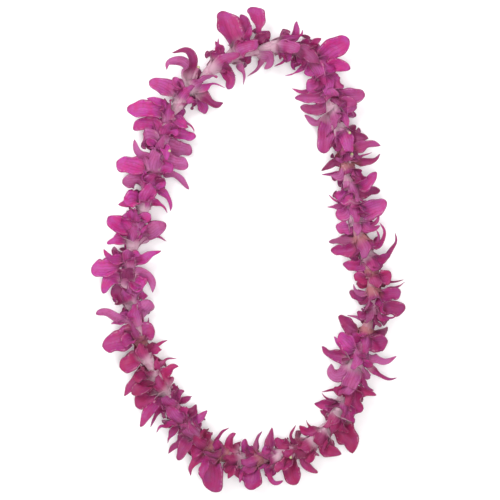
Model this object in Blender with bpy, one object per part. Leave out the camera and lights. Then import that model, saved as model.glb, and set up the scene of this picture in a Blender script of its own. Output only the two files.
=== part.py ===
"""Fresh flower lei: orchid blossoms strung nose to tail on one knotted thread, lying flat.

Blender 4.5, metres, +Z up, resting on Z = 0. Lengths in the tables below are millimetres.
Every blossom is drawn in strand coordinates: along the thread in the way the blossoms open,
across it towards the outside of the loop, and up from the thread.
"""
import math

import bmesh
import bpy
import numpy as np

MM = 0.001

AXIS_HEIGHT = 18.0        # of the thread above the surface
THREAD_RADIUS = 0.5
THREAD_POINTS = 78
TUBE_LENGTH = 19.0        # of a blossom's pale base, from its hole to its throat
HOLE_RADIUS = 1.7         # middle of the petal wall at the hole that the needle made
THROAT_RADIUS = 5.5
WALL = 0.6                # thickness of the petals
MEAN_LEAN = 4.0           # how far forward of the throat a tepal's tip is on the whole
LEAN = 0.6                # share of each tepal's own lean that keeps it clear of the next blossom
FORWARD, OUTWARD = 0.8, 0.6     # the way a tepal leaves the throat
RECURVE = 0.5                   # how far its end bends back
ROW_PLACES = (0.42, 0.76)       # rows of points along a tepal
ROW_WIDTHS = (0.75, 1.00)       # share of the tepal's width at each row
ROW_TURNS = (0.70, 1.00)        # share of its turn to face up at each row
EDGE_ON = 0.6                   # share of the width that a tepal at the side also spans upwards
SECTOR_FILL = 0.85              # share of the angle between two tepals that they may fill
WIDEST_SECTOR = 1.2             # radians to a side that a tepal may claim at most
FLOOR_SOFTNESS = 1.5            # how gently a tepal bends where it meets the surface
FLOOR_SNAP = 1.0                # what is lower than this lies flat on the surface
KNOT_CENTRE = -11.0             # along the strand, in the throat of the last blossom
KNOT_LENGTH, KNOT_RADIUS = 3.4, 1.3
KNOT_SIDES = 10
GAP = 0.3                       # between neighbouring pieces
ROUNDING = 0.001                # allowed for when a height is compared

PETAL_COLOUR = (0.45, 0.055, 0.21)
PETAL_ROUGHNESS = 0.55
THREAD_COLOUR = (0.75, 0.72, 0.66)
THREAD_ROUGHNESS = 0.8

# The knot's outline, two fat turns with a waist between them: (place, radius) as shares
KNOT_PROFILE = ((-0.5, 0.45), (-0.38, 0.85), (-0.2, 1.0), (0.0, 0.78),
                (0.2, 1.0), (0.38, 0.85), (0.5, 0.45))

# The thread's route in plan, clockwise seen from above: (x, y)
ROUTE = (
    (-72, 130), (-47, 160), (-17, 181), (19, 191), (53, 184), (71, 158), (81, 124),
    (91, 91), (95, 55), (102, 18), (114, -18), (116, -54), (107, -89), (96, -123),
    (83, -156), (59, -184), (27, -196), (-7, -199), (-37, -188), (-60, -165),
    (-80, -136), (-96, -107), (-106, -75), (-113, -43), (-113, -9), (-103, 29),
    (-92, 67), (-80, 110),
)

# One row a blossom: how far along the strand its throat is, then its six tepals in turn,
# from the outer side over the top and round below. A tepal's tip is given from the throat's
# centre as (along, across, up), and its width follows.
BLOSSOMS = (
    (12, (0, 35, 8, 11), (12, 16, 13, 9), (9, -3, 20, 9), (5, -13, 6, 8),
         (6, -10, -24, 12), (6, 16, -22, 11)),
    (34, (-9, 30, 4, 11), (6, 33, 22, 8), (16, 8, 17, 13), (19, -21, 8, 4),
         (7, -33, -2, 10), (-12, -24, -18, 12)),
    (58, (12, 22, 2, 7), (20, 10, 17, 12), (13, -17, 10, 7), (-2, -24, -2, 10),
         (6, -10, -26, 11), (6, 14, -24, 11)),
    (79, (-3, 32, -9, 11), (5, 43, 6, 13), (15, 35, 21, 9), (16, -1, 18, 12),
         (-5, -28, -2, 6), (8, -6, -26, 12)),
    (100, (4, 40, 4, 12), (13, 14, 10, 9), (10, -20, 6, 12), (-17, -21, -4, 4),
         (7, -4, -26, 11), (7, 18, -22, 10)),
    (121, (13, 27, 4, 8), (20, 19, 12, 5), (15, 2, 18, 12), (10, -12, 8, 11),
         (-3, -18, -2, 4), (7, 2, -26, 12)),
    (140, (11, 21, 4, 6), (14, 4, 18, 13), (15, -14, 6, 8), (3, -18, -4, 7),
         (7, -3, -26, 12), (6, 18, -22, 10)),
    (158, (4, 40, 6, 11), (18, 28, 17, 9), (26, -1, 13, 11), (12, -13, 4, 9),
         (-20, -25, -4, 3), (7, 3, -26, 12)),
    (175, (4, 20, -8, 10), (10, 17, 10, 13), (12, 3, 19, 11), (7, -18, 5, 16),
         (2, -30, -8, 7), (7, -3, -26, 11)),
    (191, (10, 35, 4, 15), (-3, 19, 13, 13), (-10, 3, 15, 12), (-3, -30, 4, 9),
         (9, -24, -8, 8), (8, 0, -26, 12)),
    (210, (5, 26, 3, 11), (19, 10, 12, 6), (9, -4, 18, 7), (27, -22, 2, 17),
         (-4, -25, -9, 5), (7, 2, -26, 12)),
    (231, (13, 22, 5, 12), (12, 4, 18, 14), (14, -9, 12, 11), (6, -12, 0, 4),
         (6, -6, -26, 11), (6, 15, -24, 11)),
    (249, (1, 34, 3, 6), (7, 24, 14, 3), (4, 4, 18, 10), (7, -10, 14, 9),
         (15, -25, 0, 11), (7, 0, -26, 12)),
    (266, (-9, 32, 4, 7), (10, 18, 12, 9), (14, 3, 16, 15), (4, -17, 6, 6),
         (4, -25, -6, 5), (7, -3, -26, 12)),
    (284, (4, 28, -7, 10), (-11, 25, 8, 9), (7, 7, 17, 13), (4, -14, 7, 12),
         (5, -23, -5, 4), (7, 0, -26, 12)),
    (301, (2, 33, 6, 18), (8, 12, 16, 12), (8, -4, 18, 8), (4, -17, 5, 12),
         (-3, -24, -5, 4), (7, 3, -26, 12)),
    (318, (-3, 23, 3, 5), (8, 19, 11, 6), (8, -7, 12, 5), (0, -19, 2, 12),
         (6, -8, -26, 11), (6, 14, -24, 11)),
    (336, (-12, 22, 6, 7), (-6, 17, 13, 6), (10, 0, 17, 11), (-1, -30, 3, 12),
         (-6, -28, -9, 8), (7, 2, -26, 12)),
    (353, (-14, 33, 4, 4), (3, 23, 14, 7), (8, 5, 17, 11), (0, -24, 4, 11),
         (-7, -17, -5, 4), (7, 0, -26, 12)),
    (370, (7, 31, -6, 3), (-1, 18, 8, 12), (7, 4, 17, 11), (-3, -16, 5, 11),
         (8, -15, -5, 11), (7, 2, -26, 12)),
    (387, (-7, 33, -7, 3), (-2, 27, 6, 11), (7, 8, 16, 9), (9, -5, 16, 9),
         (-10, -18, 3, 5), (0, -22, -9, 13)),
    (404, (-5, 33, 3, 11), (-2, 27, 15, 4), (8, -3, 15, 5), (4, -12, 7, 9),
         (9, -20, -4, 6), (7, 3, -26, 12)),
    (426, (-8, 20, -1, 9), (3, 22, 10, 13), (12, 8, 17, 11), (2, -11, 13, 10),
         (-8, -29, -2, 13), (7, 0, -26, 12)),
    (445, (-7, 35, 5, 6), (5, 12, 16, 11), (8, -6, 17, 8), (-12, -24, 5, 15),
         (-6, -28, -7, 8), (7, 3, -26, 12)),
    (463, (-5, 44, -5, 4), (1, 19, 8, 10), (10, 23, 22, 6), (15, 1, 17, 15),
         (4, -20, 5, 14), (-12, -34, -10, 12)),
    (478, (0, 28, 4, 9), (14, 20, 11, 16), (10, 1, 17, 9), (5, -12, 10, 10),
         (16, -22, -4, 5), (7, 2, -26, 12)),
    (494, (2, 22, -8, 9), (11, 18, 8, 12), (10, 5, 18, 10), (14, -21, 3, 14),
         (2, -18, -10, 9), (7, 3, -26, 11)),
    (511, (12, 32, 4, 16), (2, 18, 16, 9), (8, 3, 18, 13), (8, -8, 14, 9),
         (2, -14, -8, 9), (7, 3, -26, 12)),
    (528, (0, 27, 4, 13), (11, 13, 13, 5), (7, 1, 18, 11), (15, -20, 2, 13),
         (5, -20, -8, 4), (7, 2, -26, 12)),
    (545, (3, 30, -4, 7), (1, 17, 8, 12), (10, 4, 17, 12), (4, -6, 15, 8),
         (3, -21, -3, 6), (7, 0, -26, 12)),
    (563, (5, 31, 3, 16), (17, 14, 12, 11), (6, -6, 14, 8), (11, -17, 3, 12),
         (6, -12, -24, 11), (6, 8, -26, 11)),
    (581, (0, 24, 6, 6), (8, 8, 15, 8), (7, -3, 16, 8), (8, -11, 6, 7),
         (-3, -26, -4, 9), (7, 2, -26, 12)),
    (598, (7, 29, 4, 15), (4, 17, 15, 9), (9, 2, 16, 9), (11, -17, 5, 10),
         (-10, -24, -6, 5), (7, 3, -26, 12)),
    (615, (-6, 23, 2, 6), (4, 10, 16, 12), (10, -3, 16, 9), (7, -21, 2, 13),
         (2, -16, -9, 8), (7, 5, -26, 12)),
    (632, (-3, 38, 3, 15), (5, 29, 15, 8), (8, 4, 16, 9), (8, -10, 9, 12),
         (1, -24, -4, 6), (7, 2, -26, 12)),
    (648, (-3, 34, 3, 7), (1, 19, 11, 6), (8, 4, 17, 10), (10, -10, 8, 12),
         (3, -14, -9, 9), (7, 5, -26, 12)),
    (664, (-1, 33, -6, 6), (-7, 28, 9, 9), (7, 5, 17, 13), (8, -8, 14, 7),
         (7, -22, 2, 11), (7, 0, -26, 12)),
    (680, (-8, 27, 4, 5), (5, 27, 16, 6), (16, 1, 15, 15), (6, -10, 10, 8),
         (3, -17, -3, 9), (7, 2, -26, 12)),
    (697, (-5, 18, -6, 5), (-6, 29, 6, 7), (0, 34, 22, 9), (7, 2, 17, 10),
         (3, -15, 6, 12), (-5, -18, -6, 3)),
    (714, (2, 30, 4, 17), (8, 11, 16, 11), (8, -4, 17, 9), (9, -23, 3, 13),
         (-8, -12, -6, 7), (7, 2, -26, 12)),
    (732, (-7, 34, 4, 8), (2, 18, 13, 10), (8, 4, 17, 10), (12, -11, 6, 4),
         (0, -25, -4, 5), (7, 0, -26, 12)),
    (750, (-3, 26, 5, 14), (6, 6, 17, 11), (8, -5, 15, 8), (2, -16, 4, 7),
         (6, -24, -6, 7), (7, 2, -26, 12)),
    (768, (0, 36, 3, 17), (-3, 17, 13, 12), (12, 0, 16, 7), (2, -14, 5, 15),
         (13, -15, -7, 5), (7, 3, -26, 12)),
    (786, (0, 25, -7, 5), (13, 33, 6, 9), (8, 12, 16, 8), (7, -3, 17, 8),
         (14, -16, 2, 15), (7, 0, -26, 12)),
    (804, (1, 17, 6, 15), (8, 6, 16, 9), (12, -8, 13, 15), (3, -16, -4, 9),
         (6, -8, -26, 11), (6, 12, -25, 11)),
    (823, (4, 20, -6, 9), (-9, 25, 8, 9), (6, 3, 17, 11), (5, -11, 12, 9),
         (-13, -22, -3, 11), (7, 4, -26, 12)),
    (842, (-8, 34, 2, 13), (4, 24, 13, 9), (5, 5, 17, 12), (6, -9, 11, 8),
         (17, -26, -2, 8), (7, 2, -26, 12)),
    (861, (-11, 23, 2, 7), (18, 28, 14, 18), (6, 4, 17, 9), (14, -6, 13, 7),
         (26, -24, 1, 16), (11, -30, -12, 5)),
    (880, (0, 20, -5, 9), (8, 11, 8, 9), (3, 2, 17, 8), (4, -8, 8, 7),
         (2, -9, -12, 8), (7, 4, -26, 11)),
    (898, (-6, 24, 3, 8), (-4, 18, 14, 14), (10, 2, 16, 13), (8, -8, 11, 8),
         (-3, -24, -3, 4), (7, 2, -26, 12)),
    (915, (-4, 25, 4, 14), (6, 9, 15, 10), (8, -4, 15, 13), (4, -14, 5, 12),
         (-17, -24, -5, 8), (7, 0, -26, 12)),
    (932, (-3, 36, 3, 17), (20, 24, 15, 11), (8, -3, 17, 15), (3, -17, 5, 12),
         (-12, -35, -6, 7), (7, 2, -26, 12)),
    (949, (2, 18, -6, 8), (-2, 11, 13, 10), (12, 3, 16, 8), (-6, -10, 14, 8),
         (-8, -28, 2, 13), (7, -28, -12, 13)),
    (966, (-5, 27, -4, 11), (-14, 17, 9, 14), (6, 0, 17, 10), (4, -12, 10, 10),
         (6, -28, -4, 12), (7, 2, -26, 12)),
    (984, (-8, 40, 4, 14), (6, 26, 13, 7), (4, 3, 17, 10), (-2, -16, 7, 12),
         (-8, -25, -3, 6), (6, -8, -25, 11)),
)


class Strand:
    """The smooth closed curve of the thread, measured by the length along it."""

    STEPS = 60          # points read between two of the route's own points
    HALF_STEP = 2.0     # to either side of a place, for the way that the strand runs there

    def __init__(self, route):
        knots = np.array(route, float)
        t = np.linspace(0.0, 1.0, self.STEPS, endpoint=False)[:, None]
        pieces = []
        for i in range(len(knots)):
            a, b, c, d = (knots[(i + k) % len(knots)] for k in (-1, 0, 1, 2))
            slopes = (c - a) * t + (2 * a - 5 * b + 4 * c - d) * t**2
            pieces.append(b + 0.5 * (slopes + (3 * b - a - 3 * c + d) * t**3))
        points = np.concatenate(pieces + [knots[:1]])
        steps = np.linalg.norm(np.diff(points, axis=0), axis=1)
        self.points = points
        self.lengths = np.concatenate([[0.0], np.cumsum(steps)])
        self.total = self.lengths[-1]

    def at(self, along):
        s = along % self.total
        x = np.interp(s, self.lengths, self.points[:, 0])
        y = np.interp(s, self.lengths, self.points[:, 1])
        return np.array([x, y])

    def place(self, along, across, up):
        """World position, in millimetres, of a point in strand coordinates."""
        travel = self.at(along + self.HALF_STEP) - self.at(along - self.HALF_STEP)
        travel /= np.linalg.norm(travel)
        x, y = self.at(along) + across * np.array([-travel[1], travel[0]])
        return np.array([x, y, AXIS_HEIGHT + up])


def clear_scene():
    for item in list(bpy.data.objects):
        bpy.data.objects.remove(item)


def material(name, colour, roughness):
    found = bpy.data.materials.get(name)
    if found:
        return found
    made = bpy.data.materials.new(name)
    made.use_nodes = True
    shader = made.node_tree.nodes["Principled BSDF"]
    shader.inputs["Base Color"].default_value = (*colour, 1.0)
    shader.inputs["Roughness"].default_value = roughness
    shader.inputs["Metallic"].default_value = 0.0
    made.diffuse_color = (*colour, 1.0)
    return made


def add_object(name, bm, mat):
    mesh = bpy.data.meshes.new(name)
    bm.to_mesh(mesh)
    bm.free()
    mesh.shade_smooth()
    mesh.materials.append(mat)
    made = bpy.data.objects.new(name, mesh)
    bpy.context.scene.collection.objects.link(made)
    return made


def laid(strand, along, across, up):
    """World position of a point of the petals' middle sheet.

    What would sink below the surface slides forwards on it, and bends up from it softly.
    """
    lowest = WALL / 2
    sunk = max(0.0, lowest - AXIS_HEIGHT - up)
    x, y, z = strand.place(along + sunk, across, up)
    depth = (z - lowest) / FLOOR_SOFTNESS
    height = lowest + FLOOR_SOFTNESS * float(np.logaddexp(0.0, depth))
    return np.array([x, y, lowest if height < FLOOR_SNAP else height])


def tepal_rows(tip, width, sides):
    """Rows (left, middle, right) of a tepal in strand coordinates, and its tip.

    It leaves the throat forwards, flares outwards and bends back at the end. At the sides of
    the strand the tepals turn to face up, each behind the next like the slats of a blind.
    sides are the half angles to the neighbouring tepals, which keep it in its own sector.
    """
    along, across, up = tip
    clock = math.atan2(up, across)
    outward = np.array([0.0, math.cos(clock), math.sin(clock)])
    sideways = np.array([0.0, -math.sin(clock), math.cos(clock)])
    forward = np.array([1.0, 0.0, 0.0])
    lean = MEAN_LEAN + LEAN * (along - MEAN_LEAN)
    start = THROAT_RADIUS * outward
    end = lean * forward + math.hypot(across, up) * outward
    reach = np.linalg.norm(end - start) / 3
    first = start + reach * (FORWARD * forward + OUTWARD * outward)
    last = end + reach * (RECURVE * forward - (1 - RECURVE / 2) * outward)
    rows = []
    for t, share, turn in zip(ROW_PLACES, ROW_WIDTHS, ROW_TURNS):
        u = 1 - t
        middle = u**3 * start + 3 * u * u * t * first + 3 * u * t * t * last + t**3 * end
        half = share * width / 2
        slant = -half * turn * math.cos(clock) * forward
        across_half = half * (EDGE_ON + (1 - EDGE_ON) * abs(math.sin(clock)))
        radius = middle @ outward
        left, right = (min(across_half, SECTOR_FILL * radius * math.tan(side)) for side in sides)
        rows.append((middle - left * sideways - slant, middle, middle + right * sideways + slant))
    return rows, end


def split(points, corners):
    """A quad's two triangles, cut along its shorter diagonal, so that both skins fold alike."""
    a, b, c, d = corners
    if math.dist(points[a], points[c]) < math.dist(points[b], points[d]):
        return [(a, b, c), (a, c, d)]
    return [(a, b, d), (b, c, d)]


def blossom_sheet(tepals):
    """The blossom's middle sheet in strand coordinates: points, and triangles of their indices."""
    clocks = np.unwrap([math.atan2(up, across) for _, across, up, _ in tepals])
    count = len(tepals)
    gaps = [(clocks[(i + 1) % count] - clocks[i]) % math.tau for i in range(count)]
    ring = []
    for clock, gap in zip(clocks, gaps):
        ring += [clock, clock + gap / 2]
    points = []
    for along, radius in ((-TUBE_LENGTH, HOLE_RADIUS), (0.0, THROAT_RADIUS)):
        points += [(along, radius * math.cos(c), radius * math.sin(c)) for c in ring]
    size = len(ring)
    faces = []
    for i in range(size):
        n = (i + 1) % size
        faces += split(points, (i, n, size + n, size + i))
    for i, (along, across, up, width) in enumerate(tepals):
        sides = [min(gap / 2, WIDEST_SECTOR) for gap in (gaps[i - 1], gaps[i])]
        rows, tip = tepal_rows((along, across, up), width, sides)
        below = [size + (2 * i + k) % size for k in (-1, 0, 1)]
        for row in rows:
            above = [len(points) + k for k in range(3)]
            points += row
            for k in range(2):
                faces += split(points, (below[k], below[k + 1], above[k + 1], above[k]))
            below = above
        points.append(tip)
        faces += [(below[k], below[k + 1], len(points) - 1) for k in range(2)]
    return points, faces


def thicken(points, faces):
    """A closed solid of the wall's thickness around a sheet; what lies on the floor stays flat."""
    sheet = bmesh.new()
    for point in points:
        sheet.verts.new(point)
    sheet.verts.index_update()
    sheet.verts.ensure_lookup_table()
    for face in faces:
        sheet.faces.new([sheet.verts[i] for i in face])
    sheet.normal_update()
    solid = bmesh.new()
    skins = []
    for side in (1, -1):
        skin = []
        for vert in sheet.verts:
            normal = np.array(vert.normal)
            if vert.co.z < WALL / 2 + ROUNDING:
                normal = np.array([0.0, 0.0, math.copysign(1.0, normal[2])])
            skin.append(solid.verts.new(MM * (np.array(vert.co) + side * normal * WALL / 2)))
        skins.append(skin)
    front, back = skins
    for face in faces:
        solid.faces.new([front[i] for i in face])
        solid.faces.new([back[i] for i in reversed(face)])
    for edge in sheet.edges:
        if edge.is_boundary:
            loop = edge.link_loops[0]
            a = loop.vert.index
            b = loop.link_loop_next.vert.index
            solid.faces.new((front[b], front[a], back[a], back[b]))
    sheet.free()
    if solid.calc_volume(signed=True) < 0:
        bmesh.ops.reverse_faces(solid, faces=solid.faces[:])
    return solid


def blossom(number, strand, throat, tepals):
    points, faces = blossom_sheet(tepals)
    placed = [laid(strand, throat + along, across, up) for along, across, up in points]
    petal = material("orchid_petal", PETAL_COLOUR, PETAL_ROUGHNESS)
    return add_object(f"blossom_{number:02d}", thicken(placed, faces), petal)


def thread(strand):
    """The lei's thread, from one face of the knot round the loop to the other."""
    curve = bpy.data.curves.new("thread", "CURVE")
    curve.dimensions = "3D"
    curve.bevel_depth = THREAD_RADIUS * MM
    curve.bevel_resolution = 2
    curve.use_fill_caps = True
    line = curve.splines.new("POLY")
    line.points.add(THREAD_POINTS - 1)
    clear = KNOT_LENGTH / 2 + GAP
    places = np.linspace(KNOT_CENTRE + clear, KNOT_CENTRE + strand.total - clear, THREAD_POINTS)
    for point, along in zip(line.points, places):
        point.co = (*(MM * strand.place(along, 0.0, 0.0)), 1.0)
    made = bpy.data.objects.new("thread", curve)
    made.data.materials.append(material("cotton_thread", THREAD_COLOUR, THREAD_ROUGHNESS))
    bpy.context.scene.collection.objects.link(made)
    return made


def thread_knot(strand):
    """The knot that closes the loop."""
    bm = bmesh.new()
    rings = []
    for place, share in KNOT_PROFILE:
        ring = []
        for k in range(KNOT_SIDES):
            angle = math.tau * k / KNOT_SIDES
            radius = KNOT_RADIUS * share
            spot = strand.place(KNOT_CENTRE + place * KNOT_LENGTH, radius * math.cos(angle),
                                radius * math.sin(angle))
            ring.append(bm.verts.new(MM * spot))
        rings.append(ring)
    for low, high in zip(rings, rings[1:]):
        for k in range(KNOT_SIDES):
            n = (k + 1) % KNOT_SIDES
            bm.faces.new((low[k], low[n], high[n], high[k]))
    bm.faces.new(rings[0])
    bm.faces.new(rings[-1])
    bmesh.ops.recalc_face_normals(bm, faces=bm.faces[:])
    cotton = material("cotton_thread", THREAD_COLOUR, THREAD_ROUGHNESS)
    return add_object("thread_knot", bm, cotton)


def build():
    clear_scene()
    strand = Strand(ROUTE)
    for number, (throat, *tepals) in enumerate(BLOSSOMS, start=1):
        blossom(number, strand, throat, tepals)
    thread(strand)
    thread_knot(strand)


build()
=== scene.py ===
"""The looks of a fresh flower lei: a detailed piece for each node of its CAD model.

Lengths in the tables are millimetres. Every blossom is drawn in strand coordinates: along the
thread in the way the blossoms open, across it towards the outside of the loop, and up from it.
A blossom's own places are counted from the centre of its throat. A clock is an angle about the
thread, in radians from its outer side over its top. A tepal is a petal or a sepal: u runs over
its width, from -1 to 1, and v from its root to its tip, from 0 to 1.
"""
import math

import bpy
import numpy as np
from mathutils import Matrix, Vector


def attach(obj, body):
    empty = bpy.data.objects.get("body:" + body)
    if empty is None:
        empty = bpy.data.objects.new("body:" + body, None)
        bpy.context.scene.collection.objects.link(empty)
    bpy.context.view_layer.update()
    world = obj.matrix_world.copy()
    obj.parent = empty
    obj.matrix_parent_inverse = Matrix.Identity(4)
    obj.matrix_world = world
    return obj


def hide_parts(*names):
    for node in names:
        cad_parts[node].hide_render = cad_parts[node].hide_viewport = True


MM = 0.001
SEED = 7
ANY_PHASE = 6.3  # random phases run up to this, about a full turn
SHARP = 50.0  # degrees: sharper edges than this aren't smoothed over
FORWARD = np.array([1.0, 0.0, 0.0])
UP = np.array([0.0, 0.0, 1.0])

# How the lei lies
AXIS_HEIGHT = 18.0  # of the thread above the surface
HIGHEST = 22.6  # above the thread
FLOOR_SOFTNESS = 1.2  # how gently a petal bends where it meets the surface
FLOOR_REST = 0.32  # height of a petal's middle where it lies on the surface
LOWEST = 0.02  # and least height of its skin

# A blossom's pale base, from its cut end to its throat: (along, radius)
TUBE_OUTLINE = ((-19.0, 1.5), (-18.0, 1.9), (-15.5, 2.7), (-12.0, 3.7), (-8.0, 4.5),
                (-4.0, 5.0), (0.0, 5.3), (2.5, 5.9))
TUBE_ROWS, TUBE_SIDES = 22, 30
TUBE_WALL = 0.5
BELLY, BELLY_COMES = 0.10, (-19, -6)  # share by which it swells to one side, and where
RIBS, RIB_HEIGHT = 6, 0.035

# The tepals part from the tube, and their bases make a bell: (along, radius) of its ends
BELL_ROOT = (-6.0, 4.9)
BELL_MOUTH = (6.0, 9.6)
BELL_SHIFT = 2.0  # of the mouth, towards the outside of the loop
USUAL_BELL = (0.0, 1.0)  # shift along, and share of the usual radius
WHORL_STEP = 0.9  # between the radii of alternate tepals, which overlap
BELL_SHARE = 0.62  # half width of a tepal's base, as a share of the bell's radius
BASE_FADE = 0.35  # v over which the base narrows past the mouth

# How a tepal lies, by where its tip is
OVERHEAD = 0.7  # it is overhead if it spreads less than this share of its rise
LEAN = 0.45  # and leans this share of its rise over the next blossom
TIP_DRIFT, TIP_SPREAD = (-2.0, 3.0), (-6.0, 6.0)  # its tip strays, along and across
WIDTH_SHARES, ROLLS = (0.85, 1.15), (-0.7, 0.7)  # and its width and roll vary
RAISED, RAISED_DRIFT = 4.0, 1.0  # a tip over this height lies this much further along
RAISED_SHARE, RAISED_WIDTH = 1.2, 8.0  # how much wider it is, and its least width
UNDERNEATH = -15.0  # a tepal whose tip is below this spreads to the side
SPLAY = 11.0  # by this much at least
OUTER = 1.0  # to the outside of the loop, if its tip is this far across
UNDER_ROLL = 0.95  # and turns its face outwards by this angle, in radians
UNDER_SHARE, SIDE_SHARE = 1.8, 1.1  # how much wider tepals are underneath and at the side
NARROW = 5.0  # up to this width, raised and side tepals keep theirs
FACE_DOWN = 0.5  # cosine of the clock past which a tepal may lie face down

# A tepal's middle line
AT_SIDE = (0.5, 0.9)  # cosines of the clock, from leaving at the mouth to at the aim
AIM, AIM_SHARE = 1.5, 0.6  # it aims this far along, plus this share of its tip's place
AIMS = (-5.0, 12.0)  # least and most
BEND_RISE = 2.0  # of the bends above the straight way from the mouth to the tip
TIP_FORWARD = 0.15  # how far it comes back into its tip, for 1 outwards
BLADE_STEPS, STEM_STEPS = 60, 25
CROWDING = 1.35  # rows lie closer together towards the tip
SMOOTHINGS = 3

# A tepal's blade
PETAL_WALL = 0.5  # thickness at the midrib
EDGE_WALL = 0.28  # and at the edge
ACROSS_STEPS, LENGTH_STEPS = 12, 24  # faces over a tepal's width and length
# Outlines: width at the root as a share of the widest, where along the tepal it starts to
# widen and is widest, and the two powers that shape the tip, from round to pointed
OUTLINES = {
    "petal": (0.75, 0.0, 0.50, 2.6, 0.56),
    "sepal": (0.90, 0.0, 0.38, 1.9, 0.74),
    "slim": (1.20, 0.0, 0.30, 1.5, 0.74),
    "clawed": (0.24, 0.42, 0.76, 2.2, 0.50),
}
BASE_SHARES = {"petal": 1.0, "sepal": 1.0, "slim": 0.65, "clawed": 0.40}  # of the bell's
PETAL_WIDTH, SEPAL_WIDTH = 12.0, 7.5  # least widths of a petal and a sepal
FACE_SLOPE = 0.5  # forward, of the face of a tepal at the side
TURN_FROM, TURN_PAST = 0.6, 0.25  # share of the bell, and v past it, where it turns up
JOIN = 4  # power that joins the base's width to the blade's
SKEW = 0.22  # most by which one half is fuller at the tip
SLOW_WAVE, QUICK_WAVE = (0.11, 5.0), (0.07, 14.0)  # of the outline: share and pace
WRAP = 0.9  # how closely the base wraps round the bell
WRAP_FROM, WRAP_PAST = 0.9, 0.2  # share of the bell, and v past it, where that ends
PETAL_CUPS, SEPAL_CUPS = (-0.030, 0.045), (0.0, 0.06)  # curvatures over the width
FOLDS = (0.15, 0.60)  # slopes to either side of the midrib
FOLD_SOFTNESS, FOLD_DEPTH = 0.4, 0.63  # rounds the fold, and keeps the midrib level
FLARES = (-0.10, 0.22)  # slopes of the edges
RIPPLES, RIPPLE_HEIGHT = (2.0, 3.5), 0.18
MIDRIB, MIDRIB_SPREAD = 0.35, 0.14
CURLS, SEPAL_CURL = (-0.5, 2.2), 1.4  # rise of the tip, and how much more a sepal's is
# The stretches of v over which these come in
CUPPED, FOLDED, RIPPLED = (0.25, 0.6), (0.0, 0.3), (0.25, 0.7)
RIBBED, CURLED = (0.05, 0.3), (0.72, 1.0)

# The lip: (along, outwards) of its foot, knee and tip
LIP_LINE = ((-4.0, 3.6), (7.0, 5.0), (12.0, 14.5))
LIP_CLOCKS = ((2.2, 2.9), (0.25, 1.0), (-1.0, -0.4))  # where it points, blossom by blossom
LIP_ROWS, LIP_COLUMNS = 17, 13
LIP_LOBES, LOBE_SPREAD = ((4.4, 0.38), (5.4, 0.80)), 0.17  # (half width, v), and spread
LIP_CORE, LIP_TAPER = 1.2, 0.8  # half width between the lobes, and share lost at the tip
GUTTER, FRILL, FRILL_PACE = 0.16, 0.5, 9
GUTTERED, FRILLED, TAPERED = (0.45, 0.8), (0.6, 0.9), (0.9, 1.0)

# The column and its anther cap
COLUMN_FOOT, COLUMN_BEND = (-3.0, 3.2), 0.8  # the foot's place is (along, outwards)
COLUMN_RADIUS, COLUMN_FLARE = 1.25, 0.35
CAP_RADIUS, CAP_HALF_LENGTH, CAP_FORWARD = 1.4, 1.4, 0.6
CAP_ROUNDING = 0.02  # keeps its two ends from closing to a point
COLUMN_ROWS, COLUMN_SIDES = 9, 12
HIDDEN_ANTHER = (0.5, 0.5, 2.0)

# The thread and its knot
THREAD_RADIUS = 0.45
THREAD_PLIES, PLY_BULGE = 3, 0.16
PLY_PITCH = 6.0  # length of one turn of the twist
THREAD_ROWS, THREAD_SIDES = 800, 12
KNOT_CENTRE = -11.0  # along the strand: in the last blossom, behind its throat
KNOT_HALF_LENGTH, KNOT_REACH, KNOT_RISE = 1.6, 0.95, 0.42
TREFOIL = (3.4, 3.2, 1.0)  # the same of the bare curve, with room for the thread
KNOT_CLEAR = 0.3  # from the knot to the thread's ends
KNOT_ROWS, KNOT_TWISTS, KNOT_SHARE = 90, 5, 0.85

# Colours, linear
MAGENTA = (0.342, 0.012, 0.127)
PURPLE_PINK = (0.312, 0.023, 0.190)
BRIGHT_MAGENTA = (0.430, 0.015, 0.175)
BRIGHT_PURPLE = (0.410, 0.034, 0.275)
RUDDY_SHADE = (0.98, 0.70, 0.72)
CRIMSON = (0.245, 0.012, 0.070)
MAROON = (0.120, 0.009, 0.040)
BACK_PINK = (0.320, 0.050, 0.195)
LAVENDER = (0.385, 0.122, 0.285)
VEIN = (0.175, 0.008, 0.060)
PALE_PINK = (0.52, 0.33, 0.40)
TUBE_PINK = (0.34, 0.090, 0.19)
SALMON_PINK = (0.36, 0.125, 0.135)
CUT_GREEN = (0.20, 0.20, 0.06)
CREAM = (0.44, 0.42, 0.24)
COTTON, BLEACHED, SLUB_GREY = (0.62, 0.58, 0.50), (0.86, 0.83, 0.77), (0.55, 0.50, 0.42)
FLOOR_WHITE = (0.95, 0.95, 0.95)

# Painted values: how far a root fades, how pale or salmon a tube is, how dark, pale and dusty
# a tepal is, and the kind of surface
WHITE_ROOT, SALMON_ROOT, USUAL_ROOT = 0.9, -0.9, 0.2
WHITE_TUBE, USUAL_TUBE, SALMON_TUBE = 0.85, 0.5, 0.6
DARK_TEPAL, BRIGHT_TEPAL, USUAL_TEPAL, DARK_POWER = 0.9, 0.3, 0.6, 1.5
PALE_BACK, USUAL_BACK, FRONT, DUST = 0.9, 0.6, 0.12, 0.4
TEPAL, TUBE, CAP = 0.0, 0.5, 1.0
LIP_SKINS = ((0.1, 0.75, 0.6, TEPAL), (0.0, 0.9, 0.0, TEPAL))
COLUMN_SKIN = (0.7, 0.0, 0.0, TUBE)

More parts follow.
